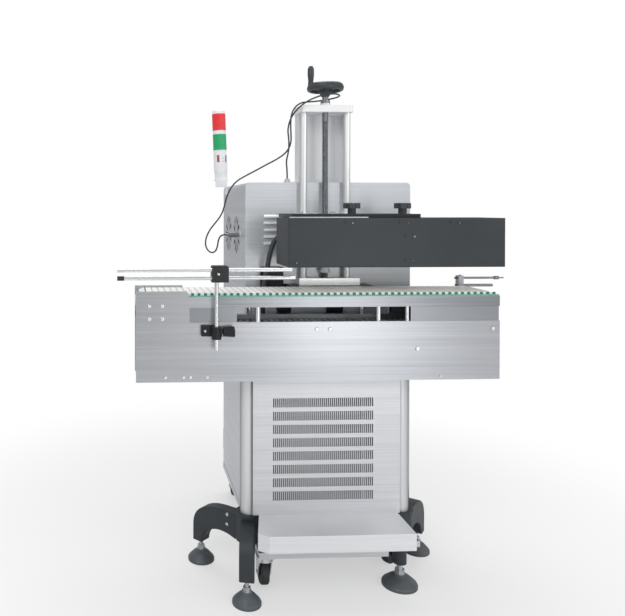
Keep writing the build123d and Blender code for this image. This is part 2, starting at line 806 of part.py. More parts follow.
write(handwheel.part, "handwheel")

with BuildPart() as wheel_handle:
    with BuildSketch(across(handle_y)):
        with BuildLine():
            Polyline(
                (handle_x + 4.06, 1550), (handle_x + 8, 1550), (handle_x + 10.5, 1572), (handle_x + 10, 1592),
                (handle_x + 6, 1600), (handle_x, 1601), (handle_x, 1596.4), (handle_x + 4.06, 1596.4),
                close=True,
            )
        make_face()
    revolve(axis=Axis((mid_x + handle_x, front_y + handle_y, 0), (0, 0, 1)))
write(wheel_handle.part, "wheel_handle")

# Carriage: aluminium block that runs on the columns, with a flanged nut on the screw.
with BuildPart() as carriage:
    block(-12, 182, 190, 247, carriage_low, carriage_high)
    block(26, 144, 206, 248, 990, 1110, Mode.SUBTRACT)
    for x in column_x:
        upright(x, gantry_y, 16, 950, carriage_low)
        upright(x, gantry_y, 16, carriage_high, carriage_high + 1.5)
    upright(gantry_x, gantry_y, 14, 926, carriage_low)
    upright(gantry_x, gantry_y, 17, 926, 934)
    for x in column_x:
        upright(x, gantry_y, column_radius + running_gap, 900, 1200, Mode.SUBTRACT)
    upright(gantry_x, gantry_y, screw_radius + running_gap, 900, 1200, Mode.SUBTRACT)
write(carriage.part, "carriage")

# Clamp plate: black arm from the carriage over the head, slotted for the two star knobs.
plate_low = head_top + 0.3
plate_high = 1119.0
with BuildPart() as clamp_plate:
    block(-78, 310, 22, 189.9, plate_low, plate_high)
    block(-12, 182, 182, 189.9, 1040, plate_low)
    for x in knob_x.values():
        with BuildSketch(level(plate_low - 1)):
            with Locations((x, knob_y)):
                SlotOverall(70, 13, rotation=90)
        extrude(amount=20, mode=Mode.SUBTRACT)
write(clamp_plate.part, "clamp_plate")

# Sealing head: dark box open below, closed by the plate that holds the induction coil.
with BuildPart() as head_housing:
    block(head_left, head_right, 0, head_depth, head_bottom, head_top)
    fillet(head_housing.edges().filter_by(Axis.Z), radius=2)
    offset(amount=-3, openings=[head_housing.faces().sort_by(Axis.Z)[0]])
    for x, z in ((-78, 978), (78, 1096), (238, 1096), (392, 1096), (257, 1057), (256, 984)):
        crosswise(x, z, 4, -2, 0)
    for x in knob_x.values():
        upright(x, knob_y, 12, 1094, head_top - 3)
        upright(x, knob_y, 4 + running_gap, 1090, 1110, Mode.SUBTRACT)
write(head_housing.part, "head_housing")

with BuildPart() as sealing_coil:
    block(head_left + 3.2, head_right - 3.2, 3.2, head_depth - 3.2, head_bottom, head_bottom + 8)
    with BuildSketch(level(head_bottom + 8)):
        with Locations(((head_left + head_right) / 2, head_depth / 2)):
            SlotOverall(590, 120)
            SlotOverall(530, 60, mode=Mode.SUBTRACT)
    extrude(amount=14)
write(sealing_coil.part, "sealing_coil")


def star_knob(x):
    """Six-lobed clamp knob with a neck and a threaded shank."""
    with BuildPart() as knob:
        upright(x, knob_y, 4, 1095, plate_high)
        upright(x, knob_y, 12.5, plate_high + 0.4, 1135)
        with BuildSketch(level(1135)):
            with Locations((x, knob_y)):
                Circle(21)
                with PolarLocations(19.5, 6):
                    Circle(6.8)
        extrude(amount=17)
        fillet(knob.edges().group_by(Axis.Z)[-1], radius=2)
        upright(x, knob_y, 4, plate_high, 1136)
    return knob.part


write(star_knob(knob_x["left"]), "star_knob_left")
write(star_knob(knob_x["right"]), "star_knob_right")

# Infeed guide: clamp on the side plate, upright post with cross clamp, and two guide rods.
post_x = -308.0
post_y = -20.0
post_radius = 6.0
rod_y = -34.0
rod_radius = 5.5
rod_z = (959.0, 936.0)

with BuildPart() as infeed_clamp:
    block(-351, -304, -9, 0, 764, 796)
    fillet(infeed_clamp.edges().filter_by(Axis.Y), radius=4)
    upright(post_x, post_y, 14, 758, 794)
    block(-300, -292, -28, -12, 766, 790)
    for x in (-340, -322):
        crosswise(x, 780, 4, -12, -9)
    upright(post_x, post_y, post_radius + running_gap, 750, 800, Mode.SUBTRACT)
    lengthwise(post_y, 778, 4 + running_gap, -300, -290, Mode.SUBTRACT)
write(infeed_clamp.part, "infeed_clamp")

with BuildPart() as clamp_knob:
    lengthwise(post_y, 778, 4, -299, -288)
    with BuildSketch(along(-288)):
        with Locations((post_y, 778)):
            RegularPolygon(14, 5)
    extrude(amount=32, taper=-4)
write(clamp_knob.part, "clamp_knob")

with BuildPart() as infeed_post:
    upright(post_x, post_y, post_radius, 726, 924)
    block(-324, -276, -44, -10, 924, 971)
    fillet(infeed_post.edges().filter_by(Axis.Y).group_by(Axis.Z)[-1], radius=5)
    crosswise(post_x + 2, 948, 5, -48, -44)
    for z in rod_z:
        lengthwise(rod_y, z, rod_radius + running_gap, -330, -270, Mode.SUBTRACT)
write(infeed_post.part, "infeed_post")

with BuildPart() as infeed_rods:
    lengthwise(rod_y, rod_z[0], rod_radius, -594, -93)
    lengthwise(rod_y, rod_z[1], rod_radius, -590, -83)
    lengthwise(rod_y, rod_z[1], 6.5, -594, -574)
write(infeed_rods.part, "infeed_rods")

with BuildPart() as outfeed_rods:
    lengthwise(outfeed_rod_y, outfeed_rod_z[0], outfeed_rod_radius[0], 494, 640)
    lengthwise(outfeed_rod_y, outfeed_rod_z[0], 5.6, 624, 638)
    lengthwise(outfeed_rod_y, outfeed_rod_z[0], 2.2, 640, 655)
    lengthwise(outfeed_rod_y, outfeed_rod_z[1], outfeed_rod_radius[1], 496, 618)
write(outfeed_rods.part, "outfeed_rods")

# Signal tower: on an angle bracket at the rear of the cabinet's left wall, leaning a little to
# the left.
tower_x = -194.0
tower_y = 655.0
tower_floor = cabinet_top + 26
tower_plane = Plane(
    origin=(mid_x + tower_x, front_y + tower_y, tower_floor), x_dir=(1, 0, 0.04), z_dir=(-0.04, 0, 1)
)


def tower_ring(low, high, radius):
    """One turned section of the tower between two heights above its bracket."""
    with BuildSketch(tower_plane.offset(low)) as disc:
        Circle(radius)
    extrude(disc.sketch, amount=high - low)


with BuildPart() as tower_housing:
    block(tower_x - 26, cabinet_left + 6, tower_y - 28, tower_y + 28, tower_floor - 3, tower_floor)
    block(cabinet_left - 3, cabinet_left, tower_y - 28, tower_y + 28, cabinet_top - 32, tower_floor)
    block(tower_x - 26, cabinet_left, tower_y - 28, tower_y - 25, cabinet_top - 4, tower_floor)
    tower_ring(-2, 27, 24)
    tower_ring(27, 98, 26)
    tower_ring(98, 115, 25)
    tower_ring(176, 191, 25)
    tower_ring(255, 270, 24)
    fillet(tower_housing.edges().sort_by(Axis.Z)[-1], radius=6)
write(tower_housing.part, "tower_housing")

with BuildPart() as tower_lens_green:
    tower_ring(115, 176, 26)
write(tower_lens_green.part, "tower_lens_green")

with BuildPart() as tower_lens_red:
    tower_ring(191, 255, 26)
write(tower_lens_red.part, "tower_lens_red")

# Cable plug in the cabinet's left wall.
plug_tail = cabinet_left - 48
with BuildPart() as cable_plug:
    lengthwise(plug_y, plug_z, 9.5, cabinet_left - 30, cabinet_left - 3)
    lengthwise(plug_y, plug_z, 11.5, cabinet_left - 38, cabinet_left - 30)
    lengthwise(plug_y, plug_z, 5, plug_tail, cabinet_left - 38)
write(cable_plug.part, "cable_plug")


def cord(points, radius, label):
    """A cord along straight runs joined by tangent arcs, as large as the runs allow."""
    places = [Vector(mid_x + x, front_y + y, z) for x, y, z in points]
    runs = [after - before for before, after in zip(places, places[1:])]
    radii = []
    for before, after in zip(runs, runs[1:]):
        turn = math.radians(before.get_angle(after))
        radii.append(0.45 * min(before.length, after.length) / math.tan(turn / 2))
    print(label, "radii", [round(value) for value in radii])
    print(label, "runs", [round(run.length) for run in runs])
    with BuildPart() as tube:
        with BuildLine() as route:
            FilletPolyline(*places, radius=radii)
        with BuildSketch(Plane(route.line @ 0, z_dir=route.line % 0)):
            Circle(radius)
        sweep(path=route.line)
    length = sum(edge.length for edge in route.edges())
    print(label, "length", round(length), "volume ratio", tube.part.volume / (math.pi * radius**2 * length))
    write(tube.part, label)


# Signal cable: from the gland up beside the gantry, once round the neck under the handwheel,
# back down, across the cabinet's top, down its left side in a slack loop and into the plug.
cord(
    [
        (-31, 268, 1234), (-31, 268, 1262), (-37, 259, 1292), (-30, 250, 1326), (-32, 241, 1362),
        (-39, 232, 1392), (-34, 220, 1424), (-20, 202, 1452), (12, 186, 1480), (60, 182, 1499),
        (104, 190, 1505), (131, 217, 1504), (132, 248, 1502), (107, 275, 1499), (70, 281, 1494),
        (38, 270, 1490), (12, 257, 1486), (-10, 252, 1470), (-22, 252, 1445), (-23, 256, 1415),
        (-20, 262, 1386), (-18, 266, 1352), (-32, 270, 1322), (-62, 276, 1300), (-96, 292, 1282),
        (-128, 316, 1263), (-157, 342, 1247), (-183, 364, 1231), (-202, 382, 1206), (-214, 392, 1176),
        (-221, 396, 1143), (-232, 394, 1112), (-253, 389, 1086), (-276, 383, 1059), (-290, 377, 1029),
        (-291, 370, 1002), (-277, 364, 982), (-259, 358, 984), (-251, 354, 1005), (-249, 352, 1028),
        (-238, 352, 1045), (-222, 352, 1045),
    ],
    2.6,
    "signal_cable",
)

# Corrugated conduit for the coil leads, from the carriage down to the cabinet's front.
cord(
    [
        (-12, 214, 1060), (-50, 214, 1060), (-84, 214, 1036), (-101, 213, 992), (-109, 212, 944),
        (-119, 212, 896), (-124, 214, 846), (-124, 214, 790),
    ],
    9.0,
    "head_conduit",
)
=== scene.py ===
"""Looks of the cap sealing machine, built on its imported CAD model."""

import math

import bpy
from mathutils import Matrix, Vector


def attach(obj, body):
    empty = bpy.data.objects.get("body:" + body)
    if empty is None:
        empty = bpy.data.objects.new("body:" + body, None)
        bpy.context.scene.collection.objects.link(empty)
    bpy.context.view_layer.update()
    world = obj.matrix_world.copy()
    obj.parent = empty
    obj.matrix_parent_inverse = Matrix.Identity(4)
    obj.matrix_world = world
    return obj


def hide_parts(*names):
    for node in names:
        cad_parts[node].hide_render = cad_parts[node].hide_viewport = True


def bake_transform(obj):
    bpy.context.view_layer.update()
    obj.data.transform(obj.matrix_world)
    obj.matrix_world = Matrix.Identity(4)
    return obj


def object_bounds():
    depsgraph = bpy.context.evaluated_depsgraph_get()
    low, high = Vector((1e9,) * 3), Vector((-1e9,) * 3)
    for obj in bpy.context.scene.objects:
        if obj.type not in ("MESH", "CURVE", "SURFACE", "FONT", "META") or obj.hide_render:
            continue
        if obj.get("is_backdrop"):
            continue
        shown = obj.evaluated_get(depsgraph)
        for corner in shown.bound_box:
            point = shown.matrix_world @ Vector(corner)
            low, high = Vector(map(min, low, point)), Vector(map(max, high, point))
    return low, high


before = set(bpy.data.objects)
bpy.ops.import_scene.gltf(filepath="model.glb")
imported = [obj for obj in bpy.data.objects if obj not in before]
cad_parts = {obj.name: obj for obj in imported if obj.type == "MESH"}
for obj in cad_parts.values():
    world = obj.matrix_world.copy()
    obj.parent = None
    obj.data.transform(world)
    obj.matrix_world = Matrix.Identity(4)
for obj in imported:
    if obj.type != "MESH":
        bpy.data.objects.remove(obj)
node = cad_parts
cad_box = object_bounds()


# Stand: two stainless tubes, each clamped in a cast iron base with two arched arms. The tubes are
# drawn and polished along their length; the bases are sand cast and painted dark grey.
class Wire:
    """A socket of a finish. Sums and products written on it add Math nodes."""

    def __init__(self, finish, socket):
        self.finish = finish
        self.socket = socket

    def maths(self, operation, *values):
        sockets = dict(enumerate(values))
        return self.finish.node("ShaderNodeMath", {"operation": operation}, sockets)

    def __add__(self, other):
        return self.maths("ADD", self, other)

    def __radd__(self, other):
        return self.maths("ADD", other, self)

    def __sub__(self, other):
        return self.maths("SUBTRACT", self, other)

    def __rsub__(self, other):
        return self.maths("SUBTRACT", other, self)

    def __mul__(self, other):
        return self.maths("MULTIPLY", self, other)

    def __rmul__(self, other):
        return self.maths("MULTIPLY", other, self)

    def __truediv__(self, other):
        return self.maths("DIVIDE", self, other)

    def __rtruediv__(self, other):
        return self.maths("DIVIDE", other, self)

    def __pow__(self, other):
        return self.maths("POWER", self, other)

    def __rpow__(self, other):
        return self.maths("POWER", other, self)

    def __gt__(self, other):
        return self.maths("GREATER_THAN", self, other)

    def __lt__(self, other):
        return self.maths("LESS_THAN", self, other)

    def __abs__(self):
        return self.maths("ABSOLUTE", self)

    def __round__(self):
        return self.maths("ROUND", self)

    def sine(self):
        return self.maths("SINE", self)


class Finish:
    """A material in the making, with the shader's own constants given by socket name."""

    def __init__(self, name, constants):
        self.material = bpy.data.materials.new(name)
        self.material.use_nodes = True
        self.tree = self.material.node_tree
        self.shader = self.tree.nodes["Principled BSDF"]
        for socket, value in constants.items():
            self.shader.inputs[socket].default_value = value

    def node(self, kind, settings, sockets, output=0):
        """Adds one node: its settings first, then the values or links of its sockets."""
        made = self.tree.nodes.new(kind)
        for name, value in settings.items():
            setattr(made, name, value)
        for name, value in sockets.items():
            if isinstance(value, Wire):
                self.tree.links.new(value.socket, made.inputs[name])
            else:
                made.inputs[name].default_value = value
        return Wire(self, made.outputs[output])

    def where(self, *stretch):
        """Place on the object in metres, each way multiplied by a factor."""
        place = self.node("ShaderNodeTexCoord", {}, {}, "Object")
        sockets = {"Vector": place, "Scale": stretch}
        return self.node("ShaderNodeMapping", {}, sockets)

    def along(self, axis):
        """One coordinate of the place, in metres."""
        return self.node("ShaderNodeSeparateXYZ", {}, {"Vector": self.where(1, 1, 1)}, axis)

    def noise(self, stretch, detail=2.0):
        """Even random cloud from 0 to 1, finer along the axes whose stretch is larger."""
        sockets = {"Vector": self.where(*stretch), "Scale": 1.0, "Detail": detail}
        return self.node("ShaderNodeTexNoise", {}, sockets, "Fac")

    def between(self, share, low, high):
        """Colour that goes from low to high with a share from 0 to 1."""
        low_socket, high_socket, colour_output = 6, 7, 2
        ends = [end if isinstance(end, Wire) else (*end, 1) for end in (low, high)]
        sockets = {"Factor": share, low_socket: ends[0], high_socket: ends[1]}
        return self.node("ShaderNodeMix", {"data_type": "RGBA"}, sockets, colour_output)

    def feed(self, name, wire):
        self.tree.links.new(wire.socket, self.shader.inputs[name])

    def bump(self, height, distance, strength):
        sockets = {"Height": height, "Distance": distance, "Strength": strength}
        self.feed("Normal", self.node("ShaderNodeBump", {}, sockets))

    def turned_away(self, power):
        """Share that rises to 1 where a round surface turns away from the eye."""
        return self.node("ShaderNodeLayerWeight", {}, {"Blend": 0.5}, "Facing") ** power


def shade(*level):
    """Linear colour from the photo's 0 to 255 levels."""
    return tuple(((value / 255 + 0.055) / 1.055) ** 2.4 for value in level)


def dress(finish, *names):
    """Gives nodes of the machine one finish."""
    for name in names:
        node[name].data.materials.clear()
        node[name].data.materials.append(finish.material)


def brushed(name, dark, light, stretch, roughness, accent=None, metallic=0.9):
    """Sheet metal with a brushed grain along the axes whose stretch is small."""
    steel = Finish(name, {"Metallic": metallic})
    fine = steel.noise(stretch, 3.0)
    streak = steel.noise([value * 0.12 for value in stretch])
    cloud = steel.noise((1.6, 1.6, 2.2), 1.0)
    share = (fine - 0.5) * 0.9 + (streak - 0.5) * 0.6 + (cloud - 0.5) * 0.5 + 0.5
    tone = steel.between(share, dark, light)
    if accent:
        place, colour = accent(steel)
        tone = steel.between(place, tone, colour)
    steel.feed("Base Color", tone)
    steel.feed("Roughness", fine * 0.16 + (roughness - 0.08))
    steel.bump(fine, 0.0002, 0.35)
    return steel


def painted_dark_reflection(steel):
    """Painted reflection: darkens a polished round bar's colour along both of its outlines, as if it
    mirrored the dark side of a room.
    """
    return steel.turned_away(1.5), shade(44, 50, 55)


# The stand tubes' dark outlines are a painted reflection.
tube_steel = brushed(
    "tube_steel", shade(206, 208, 211), shade(240, 241, 243), (90, 90, 2), 0.42, painted_dark_reflection, 0.5
)
dress(tube_steel, "stand_tubes")

casting = Finish("casting", {"Specular IOR Level": 0.45})
grit = casting.noise((900, 900, 900), 3.0)
patch = casting.noise((14, 14, 14))
casting.feed("Base Color", casting.between(patch, shade(34, 40, 44), shade(54, 61, 66)))
casting.feed("Roughness", grit * 0.25 + 0.36)
casting.bump(grit, 0.0003, 0.5)
dress(casting, "leg_base_left", "leg_base_right")


# Clamp bolts: zinc-plated socket screws that close each base round its tube. Two of them show on
# the left base, one above the other in the near side of its rear arm.
mid_x = -30.5
front_y = -326.0


def spot(x, y, z):
    """Place in the frame, from millimetres counted from the conveyor."""
    return Vector(((mid_x + x) / 1000, (front_y + y) / 1000, z / 1000))


def mesh_piece(name, points, faces, finish, body, smooth=None):
    """Makes a mesh piece from points in metres and lets it ride on a body."""
    data = bpy.data.meshes.new(name)
    data.from_pydata([tuple(point) for point in points], [], faces)
    data.validate()
    piece = bpy.data.objects.new(name, data)
    bpy.context.scene.collection.objects.link(piece)
    data.materials.append(finish.material)
    if smooth is not None:
        for face in data.polygons:
            face.use_smooth = True
        data.set_sharp_from_angle(angle=math.radians(smooth))
    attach(piece, body)
    return piece


def rings(rows, sides):
    """Faces of a closed tube whose points lie in rows, with a flat cap at both ends."""
    faces = []
    for row in range(rows - 1):
        for side in range(sides):
            after = (side + 1) % sides
            low, high = row * sides, (row + 1) * sides
            faces.append((low + side, low + after, high + after, high + side))
    faces.append(tuple(reversed(range(sides))))
    faces.append(tuple(range((rows - 1) * sides, rows * sides)))
    return faces


def lathe(profile, centre, axis):
    """Points and faces of a form turned from (radius, height) pairs round an axis."""
    turn = Vector((0, 0, 1)).rotation_difference(Vector(axis)).to_matrix()
    sides = 24
    points = []
    for radius, height in profile:
        for side in range(sides):
            angle = 2 * math.pi * side / sides
            flat = Vector((radius * math.cos(angle), radius * math.sin(angle), height)) / 1000
            points.append(centre + turn @ flat)
    return points, rings(len(profile), sides)


def gather(name, forms, finish, body, smooth=35):
    """One piece from several (points, faces) forms."""
    points, faces = [], []
    for form_points, form_faces in forms:
        start = len(points)
        points += form_points
        faces += [tuple(start + index for index in face) for face in form_faces]
    return mesh_piece(name, points, faces, finish, body, smooth)


def button_head(radius, height):
    """Profile of a domed screw head with a round socket."""
    return [
        (radius, -0.4), (radius, height * 0.35), (radius * 0.86, height * 0.8), (radius * 0.62, height),
        (radius * 0.46, height), (radius * 0.42, height * 0.35), (0.05, height * 0.3),
    ]


def mottled(name, constants, grain, dark, light, roughness, spread, dent=None):
    """A finish whose tone and gloss vary with one grain, which a dent also raises as bump."""
    finish = Finish(name, constants)
    cloud = finish.noise(grain)
    finish.feed("Base Color", finish.between(cloud, dark, light))
    finish.feed("Roughness", cloud * spread + roughness)
    if dent:
        finish.bump(cloud, *dent)
    return finish


zinc = mottled(
    "zinc", {"Metallic": 1.0}, (400, 400, 400), shade(188, 192, 196), shade(242, 244, 246), 0.15, 0.2
)

left_tube = (-196, 80)
arm_run = Vector((-0.696, 0.718, 0))
arm_face = Vector((-0.718, -0.696, 0))
arm_half_width = 22
bolt_run = 62
bolt_radius, bolt_height = 5.5, 4
bolts = []
for height in (190, 161):
    centre = spot(*left_tube, height) + arm_run * bolt_run / 1000 + arm_face * arm_half_width / 1000
    bolts.append(lathe(button_head(bolt_radius, bolt_height), centre, arm_face))
gather("base_bolts", bolts, zinc, "frame")


# Feet: coned pads of black moulded plastic on zinc-plated stems, each with a lock nut. The stem's
# fine thread is too small for the solids and is drawn here as bump.
pad_top = 37.5
stem_pitch = 1.6
foot_finish = Finish("foot", {"Specular IOR Level": 0.5})
foot_height = foot_finish.along("Z")
stem_mask = foot_height > pad_top / 1000
thread = (foot_height * (2 * math.pi / (stem_pitch / 1000))).sine()
grain = foot_finish.noise((700, 700, 700))
wear = foot_finish.noise((30, 30, 30))
plastic = foot_finish.between(wear, shade(68, 74, 79), shade(98, 104, 109))
metal = foot_finish.between(grain, shade(170, 174, 178), shade(232, 234, 236))
foot_finish.feed("Base Color", foot_finish.between(stem_mask, plastic, metal))
foot_finish.feed("Metallic", stem_mask)
foot_finish.feed("Roughness", 0.42 - stem_mask * 0.2 + grain * 0.1)
foot_finish.bump(thread * stem_mask + grain * 0.4, 0.0003, 0.7)
dress(foot_finish, "feet_front", "feet_rear")


# Castors: zinc-plated pressed forks and rubber-tyred wheels. The rear pair is one node, so its
# finish tells tyre from fork by height and by distance from the middle of each wheel.
tyre_dark, tyre_light = shade(34, 38, 41), shade(66, 71, 74)
tyre = mottled(
    "tyre", {"Specular IOR Level": 0.4}, (220, 220, 220), tyre_dark, tyre_light, 0.45, 0.2, (0.0003, 0.4)
)
dress(tyre, "castor_wheel_left", "castor_wheel_right")
dress(zinc, "castor_fork_left", "castor_fork_right")

rear_wheels = (-135.0, 339.0)
between_cheeks = 14.0
wheel_top = 77.0
rear_castor = Finish("rear_castor", {"Specular IOR Level": 0.45})
sideways = rear_castor.along("X")
left_wheel, right_wheel = (
    abs(sideways - (mid_x + x) / 1000) < between_cheeks / 1000 for x in rear_wheels
)
wheel_mask = (left_wheel + right_wheel) * (rear_castor.along("Z") < wheel_top / 1000)
castor_grain = rear_castor.noise((220, 220, 220))
rubber = rear_castor.between(castor_grain, tyre_dark, tyre_light)
plating = rear_castor.between(castor_grain, shade(188, 192, 196), shade(242, 244, 246))
rear_castor.feed("Base Color", rear_castor.between(wheel_mask, plating, rubber))
rear_castor.feed("Metallic", 1 - wheel_mask)
rear_castor.feed("Roughness", wheel_mask * 0.3 + castor_grain * 0.2 + 0.15)
dress(rear_castor, "rear_castors")


# Cabinet base and lower cabinet: folded stainless sheet, brushed along the machine. The front
# sheet has eight rows of punched slots, finer than the solid's, and runs on to the left tube.
panel_steel = brushed(
    "panel_steel", shade(190, 192, 196), shade(228, 229, 232), (3, 3, 420), 0.36, metallic=0.6
)
dress(panel_steel, "cabinet_base")
# The tray gets a lighter copy of the panel steel: painted light, to brighten it.
lit_tray_steel = brushed(
    "lit_tray_steel", shade(206, 208, 212), shade(240, 241, 243), (3, 3, 420), 0.4, metallic=0.45
)
dress(lit_tray_steel, "tray")

face_left, face_right, face_low, face_high = -189.5, 257.0, 217.5, 620.0
face_depth = 41.0
slot_rows = 8
slot_count = 50
slot_pitch = 6.12
slot_width = 3.6
slot_height = 27.0
row_pitch = 39.9
row_top = 567.0
slot_left = -129.0
across = [face_left]
for index in range(slot_count):
    start = slot_left + index * slot_pitch
    across += [start, start + slot_width]
across.append(face_right)
up = [face_low]
for row in reversed(range(slot_rows)):
    top = row_top - row * row_pitch
    up += [top - slot_height, top]
up.append(face_high)
points = [spot(x, face_depth, z) for z in up for x in across]
faces = []
for row in range(len(up) - 1):
    for column in range(len(across) - 1):
        if row % 2 and column % 2:
            continue
        low = row * len(across) + column
        faces.append((low, low + 1, low + 1 + len(across), low + len(across)))
vent_face = mesh_piece("vent_face", points, faces, panel_steel, "frame")

# The lower cabinet's sides get a darker copy of the panel steel: painted shade, as they stand in shade.
shaded_side_steel = brushed(
    "shaded_side_steel", shade(150, 153, 158), shade(186, 189, 193), (3, 3, 420), 0.4, metallic=0.6
)
side_left, side_right, side_low, side_high = -155.0, 232.0, 119.0, 619.0
side_front, side_back = 42.1, 249.9
bend_line = ((side_left, side_low), (side_left, side_high), (side_right, side_high), (side_right, side_low))
points = [spot(x, y, z) for x, z in bend_line for y in (side_front, side_back)]
faces = [(low, low + 1, low + 3, low + 2) for low in (0, 2, 4)]
hood = mesh_piece("lower_cabinet_sides", points, faces, shaded_side_steel, "frame")

sheet_thickness = 2.0
for folded in (vent_face, hood):
    sheet = folded.modifiers.new("sheet", "SOLIDIFY")
    sheet.thickness = sheet_thickness / 1000
    sheet.offset = 0.0
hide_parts("vented_front_panel")
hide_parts("vented_front_panel")


# Main cabinet: stainless sheet, brushed along the machine, with pressed louvres and two punched
# fan grilles. Door and control panel close it at the rear.
louvre_face = 249.4
louvre_low = 1000.0


def louvre_painted_highlight(steel):
    """Painted highlight: the louvres' raised slats, which stand out of the front wall, coloured near-white
    as if they caught the light.
    """
    in_front = steel.along("Y") < (front_y + louvre_face) / 1000
    high_up = steel.along("Z") > louvre_low / 1000
    return in_front * high_up, shade(250, 250, 251)


# The cabinet's louvres carry a painted highlight.
cabinet_steel = brushed(
    "cabinet_steel", shade(186, 190, 195), shade(224, 227, 231), (3, 3, 380), 0.38, louvre_painted_highlight, 0.5
)
dress(cabinet_steel, "cabinet_shell", "rear_door", "control_panel")

moulded = Finish("moulded_plastic", {"Specular IOR Level": 0.5})
mould_grain = moulded.noise((800, 800, 800))
mould_wear = moulded.noise((24, 24, 24))
moulded.feed("Base Color", moulded.between(mould_wear, shade(44, 50, 54), shade(68, 74, 79)))
moulded.feed("Roughness", mould_grain * 0.2 + 0.3)
moulded.bump(mould_grain, 0.0002, 0.4)
dress(moulded, "fan_frames", "fan_rotor_front", "fan_rotor_rear", "main_switch")


# Display and buttons of the control panel: a dark glass-fronted display, a green start button and
# a red mushroom-headed stop.
def moulded_colour(name, dark, light, roughness):
    """Glossy moulded plastic in one colour, faintly clouded."""
    gloss = {"Specular IOR Level": 0.5, "Coat Roughness": 0.1}
    return mottled(name, gloss, (60, 60, 60), dark, light, roughness, 0.1)


def slab(left, right, front, back, low, high):
    """Points and faces of a block between six faces, in millimetres from the conveyor."""
    corners = ((left, front), (right, front), (right, back), (left, back))
    points = [spot(x, y, z) for z in (low, high) for x, y in corners]
    faces = [(3, 2, 1, 0), (4, 5, 6, 7), (0, 1, 5, 4), (1, 2, 6, 5), (2, 3, 7, 6), (3, 0, 4, 7)]
    return points, faces


dress(moulded_colour("start_green", shade(20, 140, 70), shade(40, 165, 90), 0.25), "start_button")
dress(moulded_colour("stop_red", shade(200, 25, 30), shade(225, 40, 42), 0.25), "emergency_stop")
display_glass = moulded_colour("display_glass", shade(26, 32, 36), shade(34, 42, 47), 0.08)
display = slab(left=-5, right=175, front=723, back=724.6, low=961, high=1075)
gather("display_window", [display], display_glass, "frame", None)


# Power unit inside the cabinet: painted case with a finned heat sink, and beside it two capacitor
# cans, aluminium in a shrunk plastic sleeve. The conveyor's gear motor has the same grey paint.
painted_grey = mottled(
    "painted_grey",
    {"Specular IOR Level": 0.5},
    (300, 300, 300),
    shade(112, 117, 122),
    shade(140, 145, 149),
    0.35,
    0.15,
    (0.0002, 0.3),
)
dress(painted_grey, "power_unit", "gear_motor")

sleeve_top = 558.5
can_sleeve = Finish("can_sleeve", {"Specular IOR Level": 0.5})
can_end = can_sleeve.along("Z") > sleeve_top / 1000
sleeve_cloud = can_sleeve.noise((80, 80, 80))
sleeve_tone = can_sleeve.between(sleeve_cloud, shade(28, 40, 66), shade(44, 58, 88))
bare_can = can_sleeve.between(sleeve_cloud, shade(196, 198, 201), shade(224, 226, 228))
can_sleeve.feed("Base Color", can_sleeve.between(can_end, sleeve_tone, bare_can))
can_sleeve.feed("Metallic", can_end)
can_sleeve.feed("Roughness", sleeve_cloud * 0.15 + 0.28)
dress(can_sleeve, "capacitors")


# Conveyor: two stainless side plates joined by a belly pan, brushed along their length, with the
# top rails folded separately. Screws with domed heads on low bosses hold them.
plate_thickness = 1.5
window_low = 803.2


def window_painted_shade(steel):
    """Painted shade: the sheets behind both ends of the window, coloured darker because they lie in the
    plate's shade.
    """
    behind = steel.along("Y") > (front_y + plate_thickness) / 1000
    above = steel.along("Z") > window_low / 1000
    return behind * above, shade(158, 161, 166)


plate_dark, plate_light = shade(160, 163, 168), shade(208, 210, 214)
front_steel = brushed("front_steel", plate_dark, plate_light, (2.2, 3, 420), 0.33, window_painted_shade)
dress(front_steel, "conveyor_front_plate", "drive_shaft", "idler_shaft")
plate_steel = brushed("plate_steel", plate_dark, plate_light, (2.2, 3, 420), 0.33)
dress(plate_steel, "conveyor_rear_plate", "conveyor_pan")
rail_steel = brushed("rail_steel", shade(128, 131, 136), shade(176, 179, 183), (2.2, 3, 520), 0.3)
dress(rail_steel, "top_rails")

white_zinc = mottled(
    "white_zinc", {"Metallic": 1.0}, (500, 500, 500), shade(225, 227, 229), shade(250, 250, 251), 0.22, 0.15
)
conveyor_width = 160.0
boss_height = 2.5
head_overhang = 0.3
head_height = 1.6
plate_screws = [
    (-501, 851, 5), (-463, 851, 5), (-501, 814, 5), (-463, 814, 5), (-454, 643, 4), (-401, 643, 4),
    (-381, 643, 4), (-332, 643, 4), (-9, 781, 5), (30, 781, 5), (292, 721, 6), (519, 779, 5),
    (361, 640, 3),
]
for side, depth, facing in (("front", -boss_height, -1), ("rear", conveyor_width + boss_height, 1)):
    heads = []
    for x, z, radius in plate_screws:
        profile = button_head(radius + head_overhang, head_height)
        heads.append(lathe(profile, spot(x, depth, z), (0, facing, 0)))
    gather(f"{side}_plate_screws", heads, white_zinc, "frame")


# Chain: white moulded slats on stems that run between green low-friction strips. Green tongues of
# the strip fill the gaps between the stems.
link_pitch = 19.161
link_start = -509.0
slat_top = 887.4
seam_half = 0.055
link_white = Finish("link_white", {"Specular IOR Level": 0.5})
link_cloud = link_white.noise((90, 90, 90))
moulding = link_white.between(link_cloud, shade(222, 226, 229), shade(248, 249, 250))
along_chain = (link_white.along("X") - (mid_x + link_start) / 1000) / (link_pitch / 1000)
from_seam = abs(along_chain - round(along_chain))
on_top = link_white.along("Z") > slat_top / 1000
# The slats' tops are painted lighter than their sides as painted light, and the seams between links get
# painted shade.
painted_lit_top = link_white.between(link_cloud, shade(234, 235, 234), shade(252, 252, 251))
seam_shade = link_white.between(from_seam < seam_half, painted_lit_top, shade(156, 152, 146))
link_white.feed("Base Color", link_white.between(on_top, moulding, seam_shade))
link_white.feed("Roughness", link_cloud * 0.2 + 0.3)
dress(link_white, "slat_chain", "nose_guides")

matt_plastic = {"Specular IOR Level": 0.4}
strip_green = mottled(
    "strip_green", matt_plastic, (60, 60, 60), shade(84, 158, 138), shade(128, 190, 172), 0.4, 0.2
)
dress(strip_green, "wear_strips")
